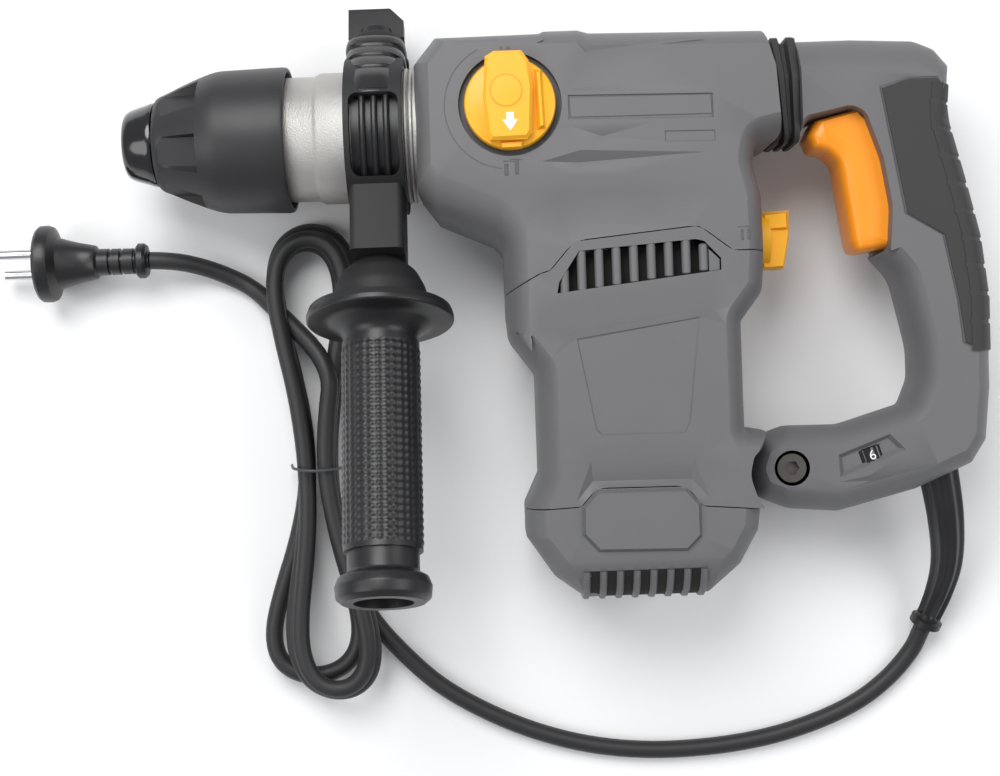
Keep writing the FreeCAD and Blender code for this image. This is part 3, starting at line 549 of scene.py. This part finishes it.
def strip(x, width, lift, side, across=((-1, -0.7), (-0.55, 0), (0.55, 0), (1, -0.7))):
    """A band that follows the end cap's sloping lower edge."""
    points, faces = [], []
    for k, (inset, height) in enumerate(SLOPE):
        a, b = SLOPE[max(k - 1, 0)], SLOPE[min(k + 1, len(SLOPE) - 1)]
        out = Vector((b[1] - a[1], -(b[0] - a[0]))).normalized()
        for u, drop in across:
            rise = lift + (lift + 0.4) * drop
            y = CAP_BOTTOM + inset - rise * out.x
            points.append(at(x + u * width / 2, y, side * (height - rise * out.y)))
    count = len(across)
    for k in range(len(SLOPE) - 1):
        for j in range(count - 1):
            b = k * count + j
            faces.append((b, b + 1, b + count + 1, b + count))
    return piece("strip", points, faces)


# In each end-cap vent the slots between the raised bars are thin flat strips painted near-black as painted
# shade in the slots.
for side, word in ((1, "near"), (-1, "far")):
    slot_shades = [strip(207.2 + k * 7.35, 5.2, 0.12, side, across=((-1, 0), (1, 0))) for k in range(7)]
    bars = [strip(203.5 + k * 7.35, 3.2, 1.3, side) for k in range(8)]
    finish(joined(f"cap_slot_shade_{word}", slot_shades), PAINTED_SHADE, "housing", "grey_shell")
    finish(joined(f"cap_bars_{word}", bars), SHELL, "housing", "grey_shell")

# ------------------------------------------------------------------ bellows
def bellows_mesh():
    points, faces = [], []
    shape = [(0, 0), (0.1, 0.4), (0.2, 0.4), (0.27, -2.4), (0.36, -2.4), (0.42, 0.3), (0.57, 0.3),
             (0.63, -2.4), (0.73, -2.4), (0.8, 0.4), (0.92, 0.4), (1, 0)]
    section = [(37.3, 12, 4, 1), (37.3, -12, 8, 1), (19, -20, 8, 1), (-11, -18, 7, 1), (-11, 18, 7, 1),
               (19, 20, 8, 1)]
    for share, grow in shape:
        for p in corner_points(section, -grow, 6):
            front = 289.4 + 7.0 * (37.5 - p.x) / 48.5
            points.append(at(front + (308 - front) * share, p.x, p.y))
    count = len(points) // len(shape)
    for level in range(len(shape) - 1):
        for k in range(count):
            j = (k + 1) % count
            faces.append((level * count + k, level * count + j, (level + 1) * count + j,
                          (level + 1) * count + k))
    return piece("bellows_rubber", points, faces)


finish(bellows_mesh(), SOFT, "housing", "soft_rubber", "bellows", smooth=40)

# ------------------------------------------------------------------ D-handle
HANDLE_EDGE = [(0, 0), (0.3, 7), (1.2, 12), (2.5, 15.4), (4.6, 18.6), (6.8, 20.8), (8.6, 22)]
D_OUTLINE = [
    (308, 36.5, 1, 1.9), (334, 36.5, 20, 1.9), (363, 35, 12, 1.7), (371, 31.5, 5, 1.2), (378, 23, 2, 0.6),
    (376.5, 6, 8, 1), (377.5, -4, 8, 1), (384, -30, 20, 1), (390, -56, 20, 1), (393, -84, 30, 1),
    (392.5, -125, 20, 1), (390, -149, 5, 1), (383, -160, 4, 1), (357, -171, 20, 1.2), (321, -180, 14, 1.2),
    (299, -178, 12, 1), (284, -172, 12, 0.8), (279, -158.5, 14, 0.8), (284, -145, 12, 0.8),
    (299, -139.8, 12, 1),
    (324, -140, 20, 1), (353, -131.5, 4, 1), (358, -120, 16, 1), (358, -106, 40, 1), (351, -74, 30, 1),
    (344, -66, 6, 1), (341.5, -63, 2, 0.1), (346, -61.5, 1, 0.04), (347.5, -42, 20, 0.04),
    (344, -20, 20, 0.04),
    (337, 0.5, 3, 0.06), (332, 3, 3, 0.15), (313, -1, 3, 0.3), (308, -9, 1, 0.1)]
GRIP_PAD = [(343.4, 12.2), (357, 15.6), (370.4, 15.6), (373, 12), (371, 5), (371.4, -8), (377, -32),
            (382.4, -56), (385.4, -84), (385, -110), (377, -105), (375, -85), (369.5, -56), (352.9, -46)]
DIAL_FIELD = [(319.5, -153.2), (343, -144.6), (350, -152), (320, -163.4)]
PIVOT_X, PIVOT_Y = 298.5, -158.5


def handle_half(name, side, nodes):
    details = [(GRIP_PAD, 0), (shrunk(GRIP_PAD, 0.5), -0.5), (shrunk(GRIP_PAD, 1.0), 0.35)]
    holes = []
    if side > 0:
        details += [(DIAL_FIELD, 0), (shrunk(DIAL_FIELD, 1.6), -2.2),
                    ([(319, -165.5), (333, -163), (346, -155.5), (334, -165.5, -1.6)], 0)]
        turns = [-a * math.pi / 12 for a in range(24)]
        holes = [[(PIVOT_X + 8 * math.cos(a), PIVOT_Y + 8 * math.sin(a)) for a in turns]]
    obj = shell(name, D_OUTLINE, HANDLE_EDGE, details, holes, (side,), 6)
    finish(obj, SHELL, "rear_handle", "grey_shell", *nodes, smooth=30)


handle_half("handle_near", 1, ["handle_shell_near", "trigger_pin"])
handle_half("handle_far", -1, ["handle_shell_far"])


def rear_x(y, depth):
    """The rearmost place of the D-handle's outline at one height, moved in by a depth."""
    ring = corner_points(D_OUTLINE, depth, 6)
    found = []
    for a, b in zip(ring, ring[1:] + ring[:1]):
        if (a.y - y) * (b.y - y) <= 0 and a.y != b.y:
            found.append(a.x + (b.x - a.x) * (y - a.y) / (b.y - a.y))
    return max(found)


def overmould():
    """The soft back of the grip, its hand side notched like a stack of pads."""
    across = [(depth, height) for depth, height in HANDLE_EDGE if height < 21.5]
    across = [(13.0, 22.5), (9.4, 22.6)] + list(reversed(across))
    section = [(d, h, 1) for d, h in across] + [(d, h, -1) for d, h in reversed(across[:-1])]
    points, faces = [], []
    rows = 250
    for row in range(rows + 1):
        y = 12.5 - 121.0 * row / rows
        pitch = (y + 96) / 12.4
        notch = 0 <= pitch < 8.6 and pitch % 1 < 0.16
        for depth, height, side in section:
            proud = 0.15 if row in (0, rows) else 0.9
            if notch and height < 22.55:
                proud = 0.25
            edge = rear_x(y, min(depth, 5) * 0.9)
            points.append(at(edge + proud - max(0, depth - 5), y, side * (height + 0.5 * (depth > 5))))
    count = len(section)
    for row in range(rows):
        for k in range(count - 1):
            faces.append((row * count + k, row * count + k + 1, (row + 1) * count + k + 1,
                          (row + 1) * count + k))
    parts = [piece("o", points, faces)]
    for side in (1, -1):
        pad = shrunk(GRIP_PAD, 0.6)
        parts.append(block("o", pad, side * 21.2, side * 22.7, 0.5))
    return joined("grip_rubber", parts)


finish(overmould(), SOFT, "rear_handle", "soft_rubber", "grip_overmould", smooth=40)

TRIGGER_LINE = [(312.5, -8, 2, 1), (316, -1, 3, 0.6), (334, 3.4, 3, 0.2), (339, -2, 3, 0.15),
                (345.6, -22, 40, 0.15), (348.8, -42, 30, 0.15), (347, -60.5, 1.5, 1), (333, -62, 3, 1),
                (331, -57, 3, 1), (326, -20, 8, 1), (321, -15.5, 4, 1), (315, -14, 2, 1)]
TRIGGER_EDGE = [(0, 0), (0, 8.5), (0.5, 11.6), (1.5, 13.6), (3.2, 15)]
TRIGGER_DISH = [(331, -12), (335, -13), (339, -34), (338.5, -54), (335.5, -54, 0.3), (334, -28, 0.3)]
trigger = shell("trigger_blade", TRIGGER_LINE, TRIGGER_EDGE, [(TRIGGER_DISH, 0)])
finish(trigger, ORANGE, "trigger", "orange", "trigger", smooth=50)

# ------------------------------------------------------------------ mode knob
def disc(name, cx, cy, radius, heights, steps=48):
    """A turned button: heights are (inset from the rim, height)."""
    points, faces = [], []
    for inset, height in heights:
        for k in range(steps):
            a = 2 * math.pi * k / steps
            reach = radius - inset
            points.append(at(cx + reach * math.cos(a), cy + reach * math.sin(a), height))
    for level in range(len(heights) - 1):
        for k in range(steps):
            j = (k + 1) % steps
            faces.append((level * steps + k, level * steps + j, (level + 1) * steps + j,
                          (level + 1) * steps + k))
    faces.append(tuple(range((len(heights) - 1) * steps, len(heights) * steps)))
    return piece(name, points, faces)


BAR = [(166.8, 25.2), (170.6, 27.4), (182.6, 27.3), (185.6, 22.9), (187.0, 12), (186.0, -8), (184, -11),
       (168, -11), (166.8, -8), (165.4, 8)]
knob_parts = [
    disc("k", KNOB_X, KNOB_Y, 20,
         [(0, HALF - 2), (0, HALF + 1.6), (0.5, HALF + 2.5), (1.6, HALF + 3), (19.9, HALF + 3)]),
    block("k", BAR, HALF + 2.5, HALF + 7.0), block("k", shrunk(BAR, 0.01), HALF + 7.0, HALF + 8.5, 1.3),
    block("k", [(187.9, 20), (191.6, 19), (192.2, -6.2), (188.3, -6.8)], HALF + 2.6, HALF + 5.6, 1.1),
    block("k", [(172, -11), (183, -11), (181.5, -14.4), (172.5, -14.4)], HALF + 2.6, HALF + 4.4, 0.5)]
knob = joined("mode_dial", knob_parts)
finish(knob, YELLOW, "mode", "yellow", "mode_knob")
ARROW = [
    (175.2, 0.6), (178.4, 0.6), (178.4, -2.6), (180.2, -2.6), (176.8, -7.4), (173.4, -2.6), (175.2, -2.6)]
finish(block("mode_arrow", ARROW, HALF + 8.3, HALF + 8.62), WHITE, "mode", "yellow")
PUSH_X, PUSH_Y = KNOB_X - 1.5, KNOB_Y + 4.5
finish(disc("mode_push", PUSH_X, PUSH_Y, 7.0,
            [(0, HALF + 7), (0, HALF + 8.4), (0.5, HALF + 8.8), (6.9, HALF + 8.95)]),
       YELLOW, "mode_button", "yellow", "mode_button")
finish(disc("mode_push_gap", PUSH_X, PUSH_Y, 7.3,
            [(0, HALF + 8.4), (0.01, HALF + 8.56), (0.3, HALF + 8.56)]),
       ORANGE, "mode", "yellow")


def stroke(name, spots, width, low, high):
    """A thin raised or printed line through flat points."""
    points, faces = [], []
    line = [Vector(p) for p in spots]
    for k, p in enumerate(line):
        ahead = (line[min(k + 1, len(line) - 1)] - line[max(k - 1, 0)]).normalized()
        out = Vector((-ahead.y, ahead.x)) * width / 2
        for q in (p + out, p - out):
            points += [at(q.x, q.y, low), at(q.x, q.y, high)]
    for k in range(len(line) - 1):
        a, b = 4 * k, 4 * k + 4
        faces += [(a + 1, b + 1, b + 3, a + 3), (a, a + 1, b + 1, b), (a + 2, b + 2, b + 3, a + 3)]
    end = 4 * (len(line) - 1)
    faces += [(0, 1, 3, 2), (end, end + 1, end + 3, end + 2)]
    return piece(name, points, faces)


arc = [(KNOB_X - 1 + 27.6 * math.cos(a), KNOB_Y - 0.5 + 27.6 * math.sin(a))
       for a in [math.radians(117 + 146 * k / 40) for k in range(41)]]
marks = [
    stroke("m", arc, 0.4, HALF - 0.05, HALF + 0.12),
    stroke("m", [(173.2, -19.2), (178.2, -19.4)], 0.4, HALF - 0.05, HALF + 0.2),
    block("m", plan(173.6, -25.6, 175.4, -20.4), HALF - 0.05, HALF + 0.25, 0.2),
    block("m", plan(178.2, -25.2, 180, -18.6), HALF - 0.05, HALF + 0.25, 0.2),
    stroke("m", [(176.2, -18.4), (181.4, -18.8)], 0.4, HALF - 0.05, HALF + 0.2),
    block("m", plan(173.4, 29.4, 174.4, 30.6), HALF - 0.05, HALF + 0.2),
    block("m", plan(176.2, 29.4, 177.8, 30.6), HALF - 0.05, HALF + 0.2),
    stroke("m", [(274.4, -51.4), (279.6, -51.2)], 0.4, HALF - 0.05, HALF + 0.15),
    block("m", plan(275.4, -57.2, 276.8, -52.4), HALF - 0.05, HALF + 0.2, 0.2),
    block("m", plan(278.2, -57, 279.6, -52.2), HALF - 0.05, HALF + 0.2, 0.2)]
finish(joined("setting_marks", marks), MARK, "housing", "grey_shell")
PANEL = [(202.9, -1.2), (202.9, 8.0), (265.0, 7.0), (265.0, -2.0)]
finish(block("name_panel", PANEL, HALF - 1.0, HALF - 0.35, 0.25), SHELL, "housing", "grey_shell")

# ------------------------------------------------------------------ knobs, dial and side handle
SELECTOR_GRIP = [(290.5, -67.5), (290.5, -41.5), (304, -40.8), (303.6, -53), (300.8, -67.5)]
selector = joined("rear_selector", [
    rod("s", at(289, -54, 0), at(292.3, -54, 0), 0.0128, 48),
    block("s", SELECTOR_GRIP, -6, 5),
    block("s", SELECTOR_GRIP, 4.9, 6.6, 0.8),
    block("s", [(291.5, -50), (291.5, -42), (303.2, -41.6), (302.8, -50)], 6, 8.6, 0.8)])
finish(selector, YELLOW, "selector", "yellow", "rear_selector_knob", smooth=30)


def turned_piece(name, origin, along, profile, steps=96, ripple=None):
    """A turned piece round any line: profile is (distance along, radius), ripple adds to the radius."""
    turn = Vector(along).to_track_quat("Z", "Y").to_matrix()
    points, faces = [], []
    for where, radius in profile:
        for k in range(steps):
            a = 2 * math.pi * k / steps
            r = radius + (ripple(where, a) if ripple else 0)
            points.append(origin + turn @ Vector((r * math.cos(a), r * math.sin(a), where)) / 1000)
    for level in range(len(profile) - 1):
        for k in range(steps):
            j = (k + 1) % steps
            faces.append((level * steps + k, level * steps + j, (level + 1) * steps + j,
                          (level + 1) * steps + k))
    faces.append(tuple(range(steps)))
    faces.append(tuple(range((len(profile) - 1) * steps, len(profile) * steps)))
    return piece(name, points, faces)


DIAL_X, DIAL_Y = 335, -154
DIAL_TURN = math.radians(18)
DIAL_LINE = Vector((-math.sin(DIAL_TURN), math.cos(DIAL_TURN), 0))
dial = turned_piece("speed_wheel", at(DIAL_X, DIAL_Y, 8), DIAL_LINE,
                    [(-4, 11), (-4, 12.6), (-3.5, 13), (3.5, 13), (4, 12.6), (4, 11)], 96,
                    lambda w, a: -0.35 if math.cos(30 * a) > 0.2 and abs(w) > 1.5 else 0)
finish(dial, GLOSS, "dial", "gloss_black", "speed_dial", smooth=30)
digit = bpy.data.curves.new("dial_digit", "FONT")
digit.body = "6"
digit.size = 0.0062
digit.extrude = 0.0001
digit.align_x = "CENTER"
digit.align_y = "CENTER"
digit_obj = bpy.data.objects.new("dial_digit", digit)
bpy.context.scene.collection.objects.link(digit_obj)
digit_obj.location = at(DIAL_X, DIAL_Y, 21.05)
digit_obj.rotation_euler = (0, 0, DIAL_TURN)
finish(digit_obj, WHITE, "dial", "gloss_black", smooth=0)

LINE = Vector((0, math.cos(TILT), -math.sin(TILT)))    # up along the side handle
HANDLE_ORIGIN = at(HANDLE_X, 0, 0)


def diamond(where, a):
    """Criss-cross ridges of the grip cover."""
    u = 16 * a
    v = where * 2 * math.pi / 6.6
    return 0.4 * max(-0.4, math.cos(u + v) * math.cos(u - v)) if abs(where + 148) < 44.5 else 0


rows = [-195 + 94 * k / 200 for k in range(201)]
cover_line = [(-195, 16.7)] + [(row, 17.3) for row in rows] + [(-101, 16.7)]
cover = turned_piece("grip_sleeve", HANDLE_ORIGIN, LINE, cover_line, 192, diamond)
finish(cover, BLACK, "grip", "black_plastic", "grip_cover", smooth=60)

# ------------------------------------------------------------------ front end
RECESSES = [math.radians(-17 + 60 * k) for k in range(6)]


def thumb_hollow(where, a):
    """Six flat-floored hollows in the cone of the chuck sleeve."""
    if not 17.5 < where < 36.2:
        return 0
    cone = sleeve_radius(where)
    for middle in RECESSES:
        off = (a - middle + math.pi) % (2 * math.pi) - math.pi
        floor = (21.9 + 0.09 * (where - 17.5)) / math.cos(off)
        if abs(off) < math.radians(16.5):
            return min(0, floor - cone)
    return 0


SLEEVE_LINE = [(15, 16.5), (15, 20.4), (15.6, 21.2), (17, 22), (20, 23.2), (24, 25.0), (28, 26.8),
               (32, 28.4), (36, 30.0), (40, 31.4), (43, 32.2), (46, 32.6), (56, 32.9), (66, 33.2),
               (74, 33.4), (75.4, 33.1), (76, 32.6),
               (76, 31.2), (74.6, 30.7), (66, 30.5)]


def sleeve_radius(where):
    for (x0, r0), (x1, r1) in zip(SLEEVE_LINE, SLEEVE_LINE[1:]):
        if x0 <= where <= x1 and x1 > x0:
            return r0 + (r1 - r0) * (where - x0) / (x1 - x0)
    return SLEEVE_LINE[-1][1]


fine = [17.4, 17.6] + [17.6 + 0.9 * k for k in range(1, 21)] + [35.9, 36.1, 36.3]
line = [p for p in SLEEVE_LINE if p[0] < 17.2] + [(x, sleeve_radius(x)) for x in sorted(fine)] + \
    [p for p in SLEEVE_LINE[SLEEVE_LINE.index((40, 31.4)):]]
X_LINE = Vector((1, 0, 0))


def barrel_piece(name, profile, steps=180, ripple=None):
    """A turned piece round the barrel; the angle runs from the camera side upwards."""
    points, faces = [], []
    for where, radius in profile:
        for k in range(steps):
            a = 2 * math.pi * k / steps
            r = radius + (ripple(where, a) if ripple else 0)
            points.append(at(where, r * math.sin(a), r * math.cos(a)))
    for level in range(len(profile) - 1):
        for k in range(steps):
            j = (k + 1) % steps
            faces.append((level * steps + k, level * steps + j, (level + 1) * steps + j,
                          (level + 1) * steps + k))
    return piece(name, points, faces)


chuck = barrel_piece("chuck_cover", line, 240, thumb_hollow)
finish(chuck, SLEEVE, "sleeve", "black_plastic", "chuck_sleeve", smooth=24)
cap_line = [(0.6, 8.5), (0, 9.2), (0, 13.6), (0.8, 15.0), (3, 16.3), (7, 17.6), (11, 18.8), (13.2, 19.4),
            (14, 19.2), (14, 11)]
finish(barrel_piece("front_cap", cap_line, 120), GLOSS, "spindle", "gloss_black", "dust_cap", smooth=30)

# floor and ribs of the window in the side handle's band
curve_floor = []
for x in (106.0, 127.0):
    curve_floor.append([at(x, 31.0 * math.sin(a), 31.0 * math.cos(a)) for a in
                        [math.radians(34 - 112 * k / 30) for k in range(31)]])
faces = [(k, k + 1, 31 + k + 1, 31 + k) for k in range(30)]
window = [piece("w", curve_floor[0] + curve_floor[1], faces)]
for x in (111.2, 116.6, 122.0):
    ribs, quads = [], []
    for k in range(31):
        a = math.radians(26 - 92 * k / 30)
        for out, width in ((30.9, 1.6), (33.6, 1.2), (34.2, 0.5)):
            for s in (-1, 1):
                ribs.append(at(x + s * width, out * math.sin(a), out * math.cos(a)))
    for k in range(30):
        b, n = 6 * k, 6 * k + 6
        quads += [(b, b + 2, n + 2, n), (b + 2, b + 4, n + 4, n + 2), (b + 4, b + 5, n + 5, n + 4),
                  (b + 5, b + 3, n + 3, n + 5), (b + 3, b + 1, n + 1, n + 3)]
    window.append(piece("w", ribs, quads))
finish(joined("band_ribs", window), BLACK, "side_handle", "black_plastic", smooth=40)

BOSS_DEPTH = [(4, 36.4), (12, 34.6), (20, 30.6), (28, 25.4), (36, 20), (45, 15.6)]


def boss_depth(y):
    """How far the boss of the band stands out at a place along the side handle."""
    for (y0, d0), (y1, d1) in zip(BOSS_DEPTH, BOSS_DEPTH[1:]):
        if y0 <= y <= y1:
            return d0 + (d1 - d0) * (y - y0) / (y1 - y0)
    return BOSS_DEPTH[-1][1]


OUT = Vector((0, math.sin(TILT), math.cos(TILT)))
points, faces = [], []
levels = [(4.4, -1.2), (5, 0)]
for low_edge, high_edge in ((6, 19.6), (21.4, 28.6), (30.4, 36.6), (38.4, 44)):
    levels += [(low_edge, 0.2), (low_edge + 0.7, 1.0), ((low_edge + high_edge) / 2, 1.3),
               (high_edge - 0.7, 1.0), (high_edge, 0.2)]
    levels += [(high_edge + 0.3, -0.4)] if high_edge < 44 else [(44.6, -0.6), (45.4, -4), (45.6, -12)]
for y, grow in levels:
    for k in range(33):
        a = math.pi * k / 32
        x = HANDLE_X + (12.9 + grow) * math.copysign(abs(math.cos(a)) ** 0.62, math.cos(a))
        depth = max(2, boss_depth(y) + grow) * math.sin(a) ** 0.62
        points.append(at(x, 0, 0) + (LINE * y + OUT * depth) / 1000)
for level in range(len(levels) - 1):
    for k in range(32):
        b = level * 33 + k
        faces.append((b, b + 1, b + 34, b + 33))
finish(piece("band_boss", points, faces), BLACK, "side_handle", "black_plastic", smooth=50)

# ------------------------------------------------------------------ plug
PLUG_LINE = [
    (-50, 15.5), (-49.6, 17.2), (-48.2, 18.3), (-44.6, 18.4), (-42.6, 17.6), (-41.2, 14.6), (-39.8, 12.4),
    (-37, 11.4), (-31, 9.8), (-25, 8.6), (-22.6, 8.0), (-22, 7.2), (-21.6, 6.4), (-16.5, 6.4),
    (-16.3, 4.9), (-15.2, 4.9), (-15, 6.3), (-11, 6.3), (-10.8, 4.8),
    (-9.7, 4.8), (-9.5, 6.2), (-4.6, 6.2), (-4.4, 5), (-3.4, 5), (-3.2, 7.2), (-2.2, 8.4), (0.4, 8.4),
    (1.7, 7.4), (2.2, 4.7), (2.8, 4.4)]
plug = turned_piece("plug_moulding", at(0, -51, -26.4), X_LINE, PLUG_LINE, 96,
                    lambda w, a: -1.6 * abs(math.sin(a)) ** 3 if -36 < w < -23 else 0)
finish(plug, BLACK, "rear_handle", "black_plastic", "plug_body", smooth=35)

# ------------------------------------------------------------------ the CAD pieces that show
FINISHES = {
    "grey_shell": SHELL, "black_plastic": BLACK, "gloss_black": GLOSS, "soft_rubber": SOFT,
    "cord_rubber": CORD,
    "yellow": YELLOW, "orange": ORANGE, "cast_metal": CAST, "steel": STEEL, "copper": COPPER,
    "laminations": IRON, "carbon": IRON}
ROUNDED = {"handle_yoke": 1.2, "side_grip": 0.8, "depth_lock_knob": 1.2, "plug_pins": 1.2,
           "nose_casting": 0.5, "pivot_bolt": 0.5, "handle_screws": 0.3, "housing_screws": 0.3}
skins = {entry["node"]: FINISHES[entry["material_slot"]] for entry in frame["record"]["subparts"]}
skins["plug_pins"] = PIN
skins["pivot_bolt"] = DARK_STEEL
skins["handle_yoke"] = ARM
for name, node in sorted(frame["nodes"].items()):
    node.data.materials.clear()
    node.data.materials.append(skins[name])
    if name in ROUNDED:
        if "custom_normal" in node.data.attributes:
            node.data.attributes.remove(node.data.attributes["custom_normal"])
        node.data.polygons.foreach_set("use_smooth", [True] * len(node.data.polygons))
        weld = node.modifiers.new("weld", "WELD")
        weld.merge_threshold = 1e-5
        edges = bevel(node, ROUNDED[name], 3, 32)
        edges.modifiers["edges"].harden_normals = True

# ------------------------------------------------------------------ stage
view = bpy.context.scene.view_settings
view.view_transform = "Standard"
ground = bpy.data.meshes.new("floor")
corners = [(-4, -4, -0.0002), (4, -4, -0.0002), (4, 4, -0.0002), (-4, 4, -0.0002)]
ground.from_pydata(corners, [], [(0, 1, 2, 3)])
floor = bpy.data.objects.new("floor", ground)
bpy.context.scene.collection.objects.link(floor)
floor.data.materials.append(material("pale_floor", (0.97, 0.97, 0.97), 0.7, tint=0.01))
stage = [floor]
for name, spot, width, power in (
        ("key", (-0.3, 0.7, 1.2), 0.9, 13.5), ("fill", (0.9, 0.1, 1.0), 0.8, 4.5),
        ("front", (-0.9, -0.2, 1.0), 0.8, 4.5)):
    lamp = bpy.data.lights.new(name, "AREA")
    lamp.shape = "DISK"
    lamp.size = width
    lamp.energy = power
    lamp_obj = bpy.data.objects.new(name, lamp)
    lamp_obj.location = Vector(spot)
    lamp_obj.rotation_euler = (Vector((0, -0.02, 0.03)) - Vector(spot)).to_track_quat("-Z", "Y").to_euler()
    bpy.context.scene.collection.objects.link(lamp_obj)
    stage.append(lamp_obj)
world = bpy.data.worlds.new("world")
bpy.context.scene.world = world
world.use_nodes = True
world.node_tree.nodes["Background"].inputs["Color"].default_value = (0.95, 0.96, 1, 1)
world.node_tree.nodes["Background"].inputs["Strength"].default_value = 0.38
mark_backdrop(*stage)

low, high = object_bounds()
